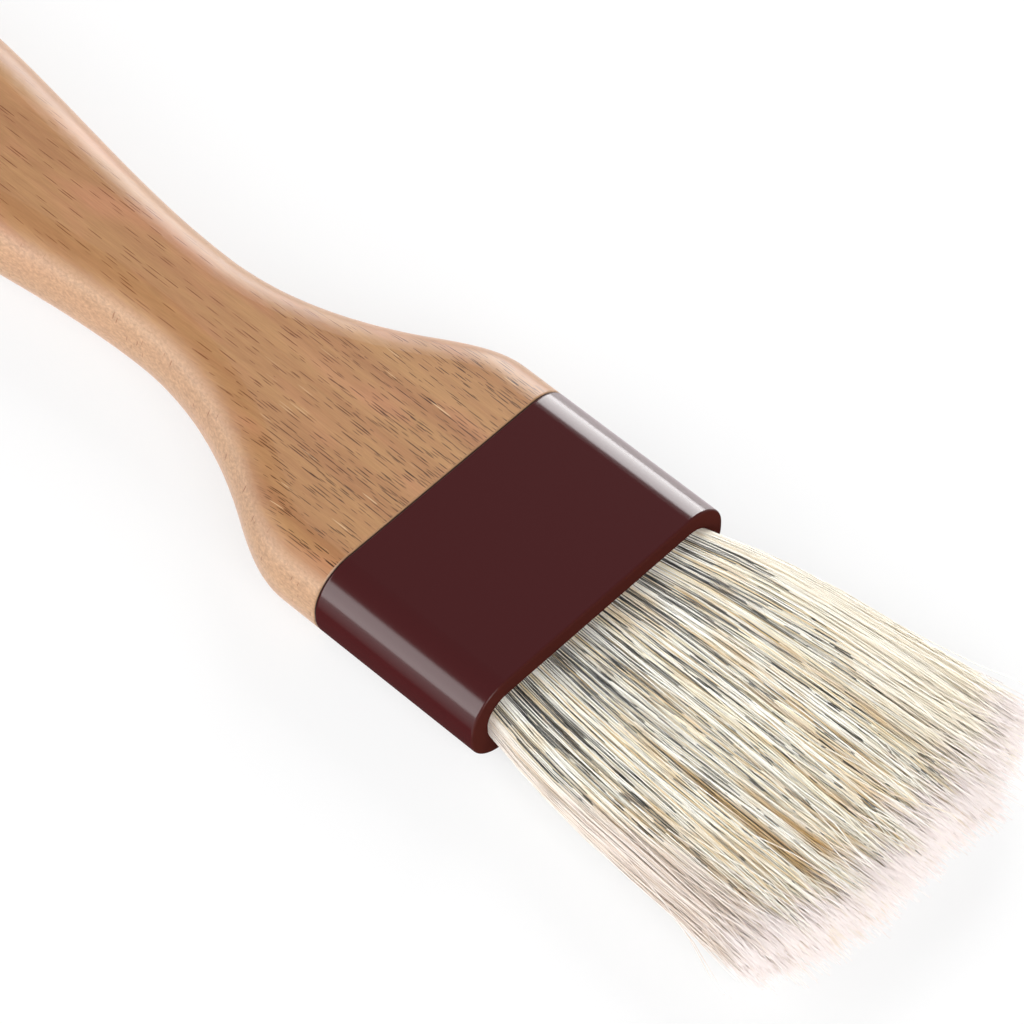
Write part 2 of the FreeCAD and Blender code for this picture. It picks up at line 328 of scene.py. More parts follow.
# The flat faces carry the dark and pale flecks, and the rounded sides their own marks.
upright = add_node(tree, "ShaderNodeSeparateXYZ", {0: spot.outputs["Normal"]})
tilt = add_node(tree, "ShaderNodeMath", {0: upright.outputs["Z"]}, operation="ABSOLUTE").outputs[0]
flat = add_node(tree, "ShaderNodeMapRange", {0: tilt, 1: FLAT_NORMAL_Z[0], 2: FLAT_NORMAL_Z[1]})
rounded = add_node(
    tree, "ShaderNodeMath", {0: 1.0, 1: flat.outputs[0]}, operation="SUBTRACT"
).outputs[0]
level = add_node(
    tree, "ShaderNodeMapRange", {0: tilt, 1: FLECKED_NORMAL_Z[0], 2: FLECKED_NORMAL_Z[1]}
).outputs[0]
kept = add_node(tree, "ShaderNodeMapRange", {0: near, 3: RAY_KEPT[0], 4: RAY_KEPT[1]})
ray = scattered(tree, place, RAY_CELL_MM, RAY_HALF_MM, kept.outputs[0])
kept = add_node(tree, "ShaderNodeMath", {0: near, 1: SHORT_KEPT}, operation="MULTIPLY")
short = scattered(tree, place, SHORT_CELL_MM, SHORT_HALF_MM, kept.outputs[0])
ray = add_node(tree, "ShaderNodeMath", {0: ray, 1: short}, operation="MAXIMUM")
ray = add_node(
    tree, "ShaderNodeMath", {0: ray.outputs[0], 1: level}, operation="MULTIPLY"
).outputs[0]
ray_hue = add_node(
    tree, "ShaderNodeMix", {0: near, 6: linear(RAY_PALER_BROWN), 7: linear(RAY_BROWN)},
    data_type="RGBA",
).outputs[2]
side_ray = scattered(tree, place, SIDE_RAY_CELL_MM, SIDE_RAY_HALF_MM, SIDE_RAY_KEPT)
side_ray = add_node(
    tree, "ShaderNodeMath", {0: side_ray, 1: rounded}, operation="MULTIPLY"
).outputs[0]
shifted = add_node(tree, "ShaderNodeVectorMath", {0: place, 1: PALE_RAY_SHIFT_MM}, operation="ADD")
pale_ray = scattered(tree, shifted.outputs[0], RAY_CELL_MM, RAY_HALF_MM, PALE_RAY_KEPT)
for factor in (level, near):
    pale_ray = add_node(
        tree, "ShaderNodeMath", {0: pale_ray, 1: factor}, operation="MULTIPLY"
    ).outputs[0]
# The rounded sides are lightened to the side colour as a painted sheen.
painted_sheen = add_node(
    tree, "ShaderNodeMath", {0: rounded, 1: SIDE_SHEEN_SHARE}, operation="MULTIPLY"
).outputs[0]
# Painted shade in the chamfer at the seam.
seam_shade = add_node(
    tree, "ShaderNodeMapRange",
    {0: station, 1: seam_mm + SEAM_SHADE_MM[0], 2: seam_mm + SEAM_SHADE_MM[1]},
).outputs[0]
for mask, hue in (
    (painted_sheen, side),
    (pale_ray, linear(PALE_RAY)),
    (side_ray, linear(SIDE_RAY_BROWN)),
    (ray, ray_hue),
    (seam_shade, linear(SEAM_SHADE)),
):
    body = add_node(
        tree, "ShaderNodeMix", {0: mask, 6: body, 7: hue}, data_type="RGBA"
    ).outputs[2]

dull = add_node(
    tree, "ShaderNodeMapRange",
    {0: grain, 1: OILED_RANGE[0], 2: OILED_RANGE[1], 3: OILED_ROUGHNESS[0], 4: OILED_ROUGHNESS[1]},
)
pores = add_node(tree, "ShaderNodeMath", {0: ray, 1: FLECK_RELIEF}, operation="MULTIPLY")
relief = add_node(tree, "ShaderNodeMath", {0: pores.outputs[0], 1: grain}, operation="ADD")
bump = add_node(
    tree, "ShaderNodeBump", {"Strength": 0.6, "Distance": 0.02 * MM, "Height": relief.outputs[0]}
)
wood = add_node(
    tree, "ShaderNodeBsdfPrincipled",
    {"Base Color": body, "Roughness": dull.outputs[0], "IOR": OIL_IOR, "Normal": bump.outputs[0],
     "Sheen Weight": 0.5, "Sheen Roughness": 0.25, "Sheen Tint": linear(SANDING_DUST)},
)
add_node(tree, "ShaderNodeOutputMaterial", {"Surface": wood.outputs[0]})
finish_cad("handle", beech)

# Tenon glue. A thin film of amber epoxy, squeezed out between the handle's tenon and the
# ferrule. It is out of sight, and cloudy where it took up wood dust.
GLUE_AMBER = "#B98A42"
GLUE_CLOUD = "#CDB07A"
CLOUD_MM = 3.0
CLOUD_RANGE = (0.40, 0.70)
GLUE_ROUGHNESS = (0.18, 0.45)
EPOXY_IOR = 1.55

amber, tree = new_material("amber_epoxy")
spot = add_node(tree, "ShaderNodeTexCoord").outputs["Object"]
cloud = add_node(
    tree, "ShaderNodeTexNoise",
    {"Vector": spot, "Scale": 1 / (CLOUD_MM * MM), "Detail": 3.0, "Roughness": 0.6},
)
cloudy = add_node(
    tree, "ShaderNodeMapRange", {0: cloud.outputs["Fac"], 1: CLOUD_RANGE[0], 2: CLOUD_RANGE[1]}
)
hue = add_node(
    tree, "ShaderNodeMix", {0: cloudy.outputs[0], 6: linear(GLUE_AMBER), 7: linear(GLUE_CLOUD)},
    data_type="RGBA",
)
rough = add_node(
    tree, "ShaderNodeMapRange", {0: cloudy.outputs[0], 3: GLUE_ROUGHNESS[0], 4: GLUE_ROUGHNESS[1]}
)
glue = add_node(
    tree, "ShaderNodeBsdfPrincipled",
    {"Base Color": hue.outputs[2], "Roughness": rough.outputs[0], "IOR": EPOXY_IOR},
)
add_node(tree, "ShaderNodeOutputMaterial", {"Surface": glue.outputs[0]})
finish_cad("tenon_glue", amber)

# Ferrule. A sleeve moulded in glossy maroon plastic, with a dull mouth where it is trimmed. Seen
# at a low angle, the mould's finish has little gloss on the +X end, and on the -X end a broad
# haze instead of a sharp gloss.
MAROON = "#411718"
MAROON_TRIMMED = "#46201B"
TRIMMED_MM = 0.30
TRIMMED_EDGE = 0.1
TRIMMED_ROUGHNESS = 0.6
PLASTIC_IOR = 1.46
POLISHED_ROUGHNESS = 0.17
HAZE_TINT = "#F2E6EA"
HAZE_IOR = 1.9
HAZE_ROUGHNESS = 0.55
HAZE_FACING = (0.48, 0.60)
FADED_FACING = (0.25, 0.42)
FADED_MOST = 0.95
END_NORMAL_X = (-0.3, 0.3)

maroon, tree = new_material("moulded_abs_maroon")
spot = add_node(tree, "ShaderNodeTexCoord")
station = add_node(tree, "ShaderNodeSeparateXYZ", {0: spot.outputs["Object"]}).outputs["Y"]
trimmed = add_node(
    tree, "ShaderNodeMapRange",
    {0: station, 1: mouth_y - TRIMMED_MM * MM, 2: mouth_y - TRIMMED_EDGE * TRIMMED_MM * MM},
)
hue = add_node(
    tree, "ShaderNodeMix", {0: trimmed.outputs[0], 6: linear(MAROON), 7: linear(MAROON_TRIMMED)},
    data_type="RGBA",
)
polished = add_node(
    tree, "ShaderNodeBsdfPrincipled",
    {"Base Color": hue.outputs[2], "Roughness": POLISHED_ROUGHNESS, "IOR": PLASTIC_IOR},
)
dull = add_node(
    tree, "ShaderNodeBsdfPrincipled",
    {"Base Color": hue.outputs[2], "Roughness": TRIMMED_ROUGHNESS, "IOR": PLASTIC_IOR,
     "Specular IOR Level": 0.0},
)
hazy = add_node(
    tree, "ShaderNodeBsdfPrincipled",
    {"Base Color": hue.outputs[2], "Roughness": HAZE_ROUGHNESS, "IOR": HAZE_IOR,
     "Sheen Weight": 0.8, "Sheen Roughness": 0.3, "Sheen Tint": linear(HAZE_TINT)},
)
facing = add_node(tree, "ShaderNodeLayerWeight", {"Blend": 0.5}).outputs["Facing"]
turned = add_node(tree, "ShaderNodeSeparateXYZ", {0: spot.outputs["Normal"]})
plus_x = add_node(
    tree, "ShaderNodeMapRange", {0: turned.outputs["X"], 1: END_NORMAL_X[0], 2: END_NORMAL_X[1]}
)
minus_x = add_node(tree, "ShaderNodeMath", {0: 1.0, 1: plus_x.outputs[0]}, operation="SUBTRACT")
faded = add_node(
    tree, "ShaderNodeMapRange", {0: facing, 1: FADED_FACING[0], 2: FADED_FACING[1], 4: FADED_MOST}
)
faded = add_node(
    tree, "ShaderNodeMath", {0: faded.outputs[0], 1: plus_x.outputs[0]}, operation="MULTIPLY"
)
haze = add_node(tree, "ShaderNodeMapRange", {0: facing, 1: HAZE_FACING[0], 2: HAZE_FACING[1]})
haze = add_node(
    tree, "ShaderNodeMath", {0: haze.outputs[0], 1: minus_x.outputs[0]}, operation="MULTIPLY"
)
outside = add_node(
    tree, "ShaderNodeMixShader", {0: haze.outputs[0], 1: polished.outputs[0], 2: hazy.outputs[0]}
)
matt = add_node(
    tree, "ShaderNodeMath", {0: faded.outputs[0], 1: trimmed.outputs[0]}, operation="MAXIMUM"
)
plastic = add_node(
    tree, "ShaderNodeMixShader", {0: matt.outputs[0], 1: outside.outputs[0], 2: dull.outputs[0]}
)
add_node(tree, "ShaderNodeOutputMaterial", {"Surface": plastic.outputs[0]})
finish_cad("ferrule", maroon)

# Setting resin. Tan epoxy poured into the ferrule round the bristles' butts, where it hardened
# with a few small bubbles. Only the bristles' roots hide it.
RESIN_TAN = "#A58A5E"
RESIN_DARK = "#86704B"
DRIFT_MM = 2.5
DRIFT_RANGE = (0.35, 0.65)
BUBBLE_MM = 0.9
BUBBLE_EDGE = (0.26, 0.12)

resin, tree = new_material("set_epoxy")
spot = add_node(tree, "ShaderNodeTexCoord").outputs["Object"]
drift = add_node(
    tree, "ShaderNodeTexNoise", {"Vector": spot, "Scale": 1 / (DRIFT_MM * MM), "Detail": 2.0}
)
mixed = add_node(
    tree, "ShaderNodeMapRange", {0: drift.outputs["Fac"], 1: DRIFT_RANGE[0], 2: DRIFT_RANGE[1]}
)
bubbles = add_node(tree, "ShaderNodeTexVoronoi", {"Vector": spot, "Scale": 1 / (BUBBLE_MM * MM)})
hollow = add_node(
    tree, "ShaderNodeMapRange", {0: bubbles.outputs["Distance"], 1: BUBBLE_EDGE[0], 2: BUBBLE_EDGE[1]}
)
raised = add_node(tree, "ShaderNodeMath", {0: 1.0, 1: hollow.outputs[0]}, operation="SUBTRACT")
hue = add_node(
    tree, "ShaderNodeMix", {0: mixed.outputs[0], 6: linear(RESIN_TAN), 7: linear(RESIN_DARK)},
    data_type="RGBA",
)
dents = add_node(
    tree, "ShaderNodeBump", {"Strength": 0.5, "Distance": 0.1 * MM, "Height": raised.outputs[0]}
)
poured = add_node(
    tree, "ShaderNodeBsdfPrincipled",
    {"Base Color": hue.outputs[2], "Roughness": 0.28, "IOR": EPOXY_IOR, "Normal": dents.outputs[0]},
)
add_node(tree, "ShaderNodeOutputMaterial", {"Surface": poured.outputs[0]})
finish_cad("resin_set", resin)

# Spacer strip. A sawn strip of poplar pushed in between the two rows of bristles, left bare. It
# wedges the knot against the ferrule's walls.
POPLAR_PALE = "#D8C39A"
POPLAR_DARK = "#C2A87C"
FIBRE = (9.0 * MM, 0.4 * MM, 0.4 * MM)
FIBRE_RANGE = (0.35, 0.65)
POPLAR_IOR = 1.45

poplar, tree = new_material("bare_poplar")
spot = add_node(tree, "ShaderNodeTexCoord").outputs["Object"]
scaled = add_node(tree, "ShaderNodeVectorMath", {0: spot, 1: FIBRE}, operation="DIVIDE")
fibre = add_node(
    tree, "ShaderNodeTexNoise",
    {"Vector": scaled.outputs[0], "Scale": 1.0, "Detail": 3.0, "Roughness": 0.6},
).outputs["Fac"]
banded = add_node(tree, "ShaderNodeMapRange", {0: fibre, 1: FIBRE_RANGE[0], 2: FIBRE_RANGE[1]})
hue = add_node(
    tree, "ShaderNodeMix", {0: banded.outputs[0], 6: linear(POPLAR_PALE), 7: linear(POPLAR_DARK)},
    data_type="RGBA",
)
sawn = add_node(tree, "ShaderNodeBump", {"Strength": 0.6, "Distance": 0.05 * MM, "Height": fibre})
strip = add_node(
    tree, "ShaderNodeBsdfPrincipled",
    {"Base Color": hue.outputs[2], "Roughness": 0.7, "IOR": POPLAR_IOR, "Normal": sawn.outputs[0]},
)
add_node(tree, "ShaderNodeOutputMaterial", {"Surface": strip.outputs[0]})
finish_cad("spacer_strip", poplar)

# Bristle knot. White boar bristle, set in resin behind the ferrule's mouth and split by a wooden
# strip into two rows. Each bristle is thickest at its root and tapers to a fine soft end, and
# neighbours cling together in loose locks that draw in a little towards the tips.

# Sizes of the knot are in mm. A span is where something starts and how far it takes to be full.
MOUTH_HALF = (17.45, 3.33)
MOUTH_CORNER = 2.8
ROOT_STATIONS = (-4.0, -0.5)
STRIP_HALF = (13.6, 1.08)
STRIP_MARGIN = 0.2
STRIP_CLOSES = 12.0
SHELL_DEPTH = 0.80
SHELL_SPACING = 0.145
CORE_SPACING = 0.22
ACROSS_JITTER = 0.2
UPWARD_JITTER = 0.3
SEED = 11

# Bristles inside the knot are drawn thicker and fewer than real ones. All of them widen with the
# fan, to stand for the soft split hairs that fill its gaps.
SHELL_RADIUS = (0.056, 0.076)
CORE_RADIUS = (0.090, 0.115)
DARK_RADIUS = 0.042
TIP_RADIUS = 0.032
TAPER_POWER = 4
FREE_LENGTH = 46.2
SIDE_SHORTER = 4.2
CROWN_POWER = 2.4
LENGTH_SPREAD = (-0.9, 0.85)
LENGTH_LIMITS = (-3.0, 1.4)
SHORT_SHARE = 0.2
SHORT_MOST = 5
FLARE = {1: (3.3, 13.0), -1: (6.2, 17.0)}

LOCKS_PER_ROW = 10
LOCK_FROM_EDGE = 1.6
LOCK_HEIGHT = 1.9
LOCK_SPREAD = (0.6, 0.5)
LOCK_FLATNESS = 1.3
LOCK_DRIFT = (0.45, 0.30)
LOCK_LENGTH_SPREAD = 0.55
LOCK_PULL = 0.20
PULL_SPAN = (8, 38)
SIDE_HOLD = 0.6
LEAN_SPREAD = (1.1, 0.40)
BEND_SPREAD = 0.9
WAVE = 0.10
WAVE_GROWS = 8
WAVE_TURNS = (0.10, 0.26)
LOOSE_SPAN = (0.82, 0.18)
LOOSE_SPREAD = (0.65, 0.45)
STRAY_SHARE = 0.06
STRAY_DEPTH = 0.5
STRAY_SPREAD = 2.2
STRAY_RISE = 1.0
STRAY_TONE = 0.99
CURL_SPAN = (0.45, 0.55)

VALLEYS = 13
VALLEY_REACH = 0.94
VALLEY_JITTER = 0.045
VALLEY_FROM = (0.22, 0.62)
VALLEY_TO = (0.80, 0.95)
VALLEY_HALF = (0.40, 1.0)
VALLEY_FORCE = (0.35, 1.0)
VALLEY_CLOSES = 0.12
VALLEY_EDGE = 0.3
VALLEY_LEAST = 0.02
VALLEY_SINK = 0.45
KNOT_HALF_HEIGHT = 5.2

DARK_CROWD = (0.35, 0.95)
CROWD_COLUMNS = 12
DARK_LINE_DEPTH = 0.15
DARK_LINE_MIDDLE = 14.5
DARK_LINE_SIDE_SHARE = 0.3
DARK_ROOT = (2.0, 6.0)
DARK_ROOT_TAIL = 6.0
DARK_ROOT_VARIES = (0.7, 1.2)
DARK_FAR_SHARE = 0.31
DARK_FAR_LEAST = 3
DARK_FAR_TAIL = 8.0
DEEP_FULL = 1.2

# Flank at each side washed out by painted light: where it starts at the root, how much it grows
# and how soft its edge is.
FLANK = {1: (16.0, 3.5, 2.0), -1: (13.5, 6.0, 2.5)}
FLANK_SPAN = (0.2, 0.6)
FLANK_FILLS = 0.5
LANES = 8
TUBE_TURN = math.pi / 4

rng = np.random.default_rng(SEED)


def ease(t):
    """Smooth step from 0 to 1."""
    t = np.clip(t, 0, 1)
    return t * t * (3 - 2 * t)


def mouth_grid(spacing, least, most):
    """Jittered places, depths and columns of bristles that lie between two depths in the mouth."""
    columns = np.arange(round(2 * MOUTH_HALF[0] / spacing))
    lines = np.arange(round(2 * MOUTH_HALF[1] / spacing))
    column, line = (g.ravel() for g in np.meshgrid(columns, lines))
    shift_x = rng.uniform(-ACROSS_JITTER, ACROSS_JITTER, len(column)) * spacing
    shift_z = rng.uniform(-UPWARD_JITTER, UPWARD_JITTER, len(column)) * spacing
    gx = (column + 0.5) * spacing - MOUTH_HALF[0] + shift_x
    gz = (line + 0.5) * spacing - MOUTH_HALF[1] + shift_z
    corner_x = np.maximum(np.abs(gx) - (MOUTH_HALF[0] - MOUTH_CORNER), 0)
    corner_z = np.maximum(np.abs(gz) - (MOUTH_HALF[1] - MOUTH_CORNER), 0)
    under = np.minimum(MOUTH_HALF[0] - np.abs(gx), MOUTH_HALF[1] - np.abs(gz))
    rounded = (corner_x > 0) & (corner_z > 0)
    under = np.where(rounded, MOUTH_CORNER - np.hypot(corner_x, corner_z), under)
    keep = (under >= least) & (under < most)
    return gx[keep], gz[keep], under[keep], column[keep]


shell = mouth_grid(SHELL_SPACING, 0.0, SHELL_DEPTH)
core = mouth_grid(CORE_SPACING, SHELL_DEPTH, math.inf)
x0, z0, outer, column = (np.concatenate(pair) for pair in zip(shell, core))
count = len(x0)
in_shell = outer < SHELL_DEPTH
off_centre = np.abs(x0) / MOUTH_HALF[0]

# Each bristle belongs to the nearest lock of its row.
evenly = np.linspace(-1, 1, LOCKS_PER_ROW) * (MOUTH_HALF[0] - LOCK_FROM_EDGE)
lock_x = np.concatenate([evenly + rng.normal(0, LOCK_SPREAD[0], LOCKS_PER_ROW) for _ in range(2)])
lock_z = np.repeat([LOCK_HEIGHT, -LOCK_HEIGHT], LOCKS_PER_ROW)
lock_z = lock_z + rng.normal(0, LOCK_SPREAD[1], 2 * LOCKS_PER_ROW)
same_row = np.sign(z0)[:, None] == np.sign(lock_z)[None]
apart_x = x0[:, None] - lock_x[None]
apart_z = LOCK_FLATNESS * (z0[:, None] - lock_z[None])
apart = np.where(same_row, apart_x ** 2 + apart_z ** 2, math.inf)
lock = np.argmin(apart, axis=1)
lock_drift = rng.normal(0, LOCK_DRIFT, (len(lock_x), 2))
lock_length = rng.normal(0, LOCK_LENGTH_SPREAD, len(lock_x))

# Stations s along each bristle run from inside the ferrule, below 0, to its own length.
length = FREE_LENGTH - SIDE_SHORTER * off_centre ** CROWN_POWER + lock_length[lock]
length += np.clip(rng.normal(*LENGTH_SPREAD, count), *LENGTH_LIMITS)
length -= np.where(rng.uniform(0, 1, count) < SHORT_SHARE, rng.uniform(0, SHORT_MOST, count), 0)
along = np.array([0.0, 0.0, 0.05, 0.14, 0.26, 0.40, 0.55, 0.70, 0.83, 0.93, 1.0])
s = length[:, None] * along[None]
s[:, :2] = ROOT_STATIONS
free = np.maximum(s, 0)
run = free / length[:, None]
lean = free / FREE_LENGTH

# The knot fans out in width, and its two rows close over the strip's end.
reach = (np.where(x0 > 0, FLARE[1][0], FLARE[-1][0]) / MOUTH_HALF[0])[:, None]
tau = np.where(x0 > 0, FLARE[1][1], FLARE[-1][1])[:, None]
opened = (1 - np.exp(-free / tau)) / (1 - np.exp(-FREE_LENGTH / tau))
fan = 1 + reach * opened
x = x0[:, None] * fan
in_strip = np.abs(x0) < STRIP_HALF[0] + STRIP_MARGIN
split = np.sign(z0) * (STRIP_HALF[1] + np.abs(z0) * (1 - STRIP_HALF[1] / MOUTH_HALF[1]))
z_root = np.where(in_strip, split, z0)[:, None]
closing = ease(s / STRIP_CLOSES)
z = z_root * (1 - closing) + z0[:, None] * closing

# Locks draw together and drift, and each bristle leans, waves and comes loose at its end.
drawn = ease((s - PULL_SPAN[0]) / PULL_SPAN[1]) * LOCK_PULL
x -= (x0 - lock_x[lock])[:, None] * drawn * (1 + reach)
z -= (z0 - lock_z[lock])[:, None] * drawn
central = 1 - SIDE_HOLD * off_centre[:, None] ** 3
lean_x = rng.normal(0, LEAN_SPREAD[0], count)[:, None]
x += (lean ** 1.5) * lock_drift[lock, 0][:, None] + lean * central * lean_x
x += (lean ** 2) * central * rng.normal(0, BEND_SPREAD, count)[:, None]
lean_z = rng.normal(0, LEAN_SPREAD[1], count)[:, None]
z += (lean ** 1.5) * lock_drift[lock, 1][:, None] + lean * lean_z
phase = rng.uniform(0, 2 * math.pi, (count, 2))
turns = rng.uniform(*WAVE_TURNS, count)[:, None]
wave = ease(s / WAVE_GROWS) * WAVE
x += wave * np.sin(turns * s + phase[:, :1])
z += wave * np.sin(turns * s + phase[:, 1:])
loose = ease((run - LOOSE_SPAN[0]) / LOOSE_SPAN[1])
x += loose * rng.normal(0, LOOSE_SPREAD[0], count)[:, None]
z += loose * rng.normal(0, LOOSE_SPREAD[1], count)[:, None]
stray = (rng.uniform(0, 1, count) < STRAY_SHARE) & (outer < STRAY_DEPTH)
curl = ease((run - CURL_SPAN[0]) / CURL_SPAN[1]) ** 1.5
x += np.where(stray, rng.normal(0, STRAY_SPREAD, count), 0)[:, None] * curl * central
z += np.where(stray, STRAY_RISE * np.sign(z0), 0)[:, None] * curl

# Valleys between tufts start part of the way out, widen, and close before the tips.
row = np.where(z0 > 0, 0, 1)
evenly = np.linspace(-VALLEY_REACH, VALLEY_REACH, VALLEYS)
valley_at = evenly + rng.normal(0, VALLEY_JITTER, (2, VALLEYS))
valley_from = rng.uniform(*VALLEY_FROM, (2, VALLEYS))
valley_to = rng.uniform(*VALLEY_TO, (2, VALLEYS))
valley_half = rng.uniform(*VALLEY_HALF, (2, VALLEYS))
valley_force = rng.uniform(*VALLEY_FORCE, (2, VALLEYS))
valley = np.zeros_like(x)
for k in range(VALLEYS):
    grown = (along - valley_from[row, k][:, None]) / (valley_to - valley_from)[row, k][:, None]
    half = valley_half[row, k][:, None] * np.clip(grown, 0, 1) ** 0.7
    half = half * ease((1 - grown) / VALLEY_CLOSES)
    aside = np.abs(x - valley_at[row, k][:, None] * (MOUTH_HALF[0] * fan))
    inside = ease(0.5 + (half - aside) / VALLEY_EDGE) * (half > VALLEY_LEAST)
    valley = np.maximum(valley, valley_force[row, k][:, None] * inside)
valley *= ~stray[:, None]
z -= VALLEY_SINK * np.sign(z0)[:, None] * valley
z = np.clip(z, -KNOT_HALF_HEIGHT, KNOT_HALF_HEIGHT)

# Dark bristles, partly real dark ones and partly painted shade in the gaps between bristles: fine
# lines at the root in some columns of the outermost layer, and single ones that are dark further out.
column_count = int(column.max()) + 1
knots = np.arange(0, column_count + CROWD_COLUMNS, CROWD_COLUMNS)
crowd = np.interp(np.arange(column_count), knots, rng.uniform(*DARK_CROWD, len(knots)))
dark_columns = (np.arange(column_count) % 2 == 1) & (rng.uniform(0, 1, column_count) < crowd)
column_dark = rng.uniform(*DARK_ROOT, column_count) + rng.exponential(DARK_ROOT_TAIL, column_count)
in_line = dark_columns[column] & (outer < DARK_LINE_DEPTH)
in_line &= (np.abs(x0) < DARK_LINE_MIDDLE) | (rng.uniform(0, 1, count) < DARK_LINE_SIDE_SHARE)
single = (rng.uniform(0, 1, count) < DARK_FAR_SHARE) & in_shell
dark_length = np.where(in_line, column_dark[column] * rng.uniform(*DARK_ROOT_VARIES, count), 0.0)
far_length = DARK_FAR_LEAST + rng.exponential(DARK_FAR_TAIL, count)
dark_length = np.where(single, far_length, dark_length)
dark_to = dark_length / FREE_LENGTH

shell_radius = rng.uniform(*SHELL_RADIUS, count)
core_radius = rng.uniform(*CORE_RADIUS, count)
root_radius = np.where(in_shell, shell_radius, core_radius)
root_radius = np.where(in_line | single, DARK_RADIUS, root_radius)[:, None]
taper = np.clip(run, 0, 1) ** TAPER_POWER
radius = (root_radius * (1 - taper) + TIP_RADIUS * taper) * fan
tone = np.where(stray, STRAY_TONE, rng.uniform(0, 1, count))
deep = np.clip(outer / DEEP_FULL, 0, 1)

# Calm is above 0 on the +X flank and below 0 on the -X one; both flanks are washed out by painted
# light.
spread = ease((along - FLANK_SPAN[0]) / FLANK_SPAN[1])
calm = np.zeros_like(x)
for flank_side, (start, growth, softness) in FLANK.items():
    calm += flank_side * ease((flank_side * x0[:, None] - start + growth * spread) / softness)
valley *= 1 - FLANK_FILLS * np.abs(calm)

BRISTLE_WHITE = "#FFFCF2"
BRISTLE_CREAM = "#FAEFD2"
BRISTLE_STRAW = "#E2C490"
# Ochre is painted shade in the valleys between tufts.
VALLEY_SHADE_OCHRE = "#D2AC6C"
# The tip colour is partly the split ends' own and partly a painted wash of light.
SPLIT_LIT_TIP = "#FBF1EE"
# The dark colour is partly dark bristles and partly painted shade between bristles.
DARK_BRISTLE_AND_SHADE = "#17130F"
# Cream and pink are painted light that washes out the two flanks.
LIT_FLANK_CREAM = "#FFF7E6"
LIT_FLANK_PINK = "#EADBD2"
PATCH_MM = (1.5, 9.0, 2.0)
PATCH_RANGE = (0.3, 0.7)
WARM_RANGE = (0.52, 0.72)
WARM_MOST = 0.7
# Painted shade warms the inside of the knot.
INNER_SHADE_RANGE = (0.2, 1.0)
INNER_SHADE_MOST = 0.5
VALLEY_SHADE_MOST = 0.9
LIT_FLANK_MOST = 0.8
LINES_APART = 900.0
DASHES_EVEN = 3.5
DASHES_FASTER = 8.0
DASHED_SPAN = (0.10, 0.90)
DASHED_SHARE = (0.53, 0.33)
DASHED_UNEVEN = 0.03
LIT_FLANK_BELOW = 0.5
TIP_RANGE = (0.88, 0.98)
TIP_UNEVEN = 0.06
HAIR_IOR = 1.55

bristle, tree = new_material("boar_bristle")
carried = {}
for label in ("tone", "deep", "along", "valley", "calm", "dark"):
    carried[label] = add_node(tree, "ShaderNodeAttribute", attribute_name=label).outputs["Fac"]
light = add_node(
    tree, "ShaderNodeValToRGB", {0: carried["tone"]},
    stops=[(0.0, BRISTLE_STRAW), (0.14, BRISTLE_CREAM), (0.45, BRISTLE_WHITE)],
)
spot = add_node(tree, "ShaderNodeTexCoord").outputs["Object"]
place = add_node(
    tree, "ShaderNodeVectorMath", {0: spot, 1: (1 / MM, 1 / MM, 1 / MM)}, operation="MULTIPLY"
)
scaled = add_node(
    tree, "ShaderNodeVectorMath", {0: place.outputs[0], 1: PATCH_MM}, operation="DIVIDE"
)
patch = add_node(
    tree, "ShaderNodeTexNoise",
    {"Vector": scaled.outputs[0], "Scale": 1.0, "Detail": 2.0, "Roughness": 0.6},
).outputs["Fac"]

# Warm patches at random, painted shade that warms the inside, painted shade in ochre in the
# valleys, and painted light that washes out the flanks.
warm = add_node(
    tree, "ShaderNodeMapRange", {0: patch, 1: WARM_RANGE[0], 2: WARM_RANGE[1], 4: WARM_MOST}
)
# Painted shade: deeper bristles turn to straw.
inner_shade = add_node(
    tree, "ShaderNodeMapRange",
    {0: carried["deep"], 1: INNER_SHADE_RANGE[0], 2: INNER_SHADE_RANGE[1], 4: INNER_SHADE_MOST},
)
# Painted shade: valleys turn ochre.
valley_shade = add_node(
    tree, "ShaderNodeMath", {0: carried["valley"], 1: VALLEY_SHADE_MOST}, operation="MULTIPLY"
)
calmness = add_node(tree, "ShaderNodeMath", {0: carried["calm"]}, operation="ABSOLUTE").outputs[0]
calm_side = add_node(
    tree, "ShaderNodeMath", {0: carried["calm"], 1: 0.0}, operation="GREATER_THAN"
)
# Painted light: the flanks turn to a smooth cream on -X and pink on +X.
flank = add_node(
    tree, "ShaderNodeMix", {0: calm_side.outputs[0], 6: linear(LIT_FLANK_CREAM), 7: linear(LIT_FLANK_PINK)},
    data_type="RGBA",
)
lit_flank_share = add_node(tree, "ShaderNodeMath", {0: calmness, 1: LIT_FLANK_MOST}, operation="MULTIPLY")
hue = light.outputs[0]
for mask, colour in (
    (warm, linear(BRISTLE_STRAW)),
    (inner_shade, linear(BRISTLE_STRAW)),
    (valley_shade, linear(VALLEY_SHADE_OCHRE)),
    (lit_flank_share, flank.outputs[2]),
):
    hue = add_node(
        tree, "ShaderNodeMix", {0: mask.outputs[0], 6: hue, 7: colour}, data_type="RGBA"
    ).outputs[2]

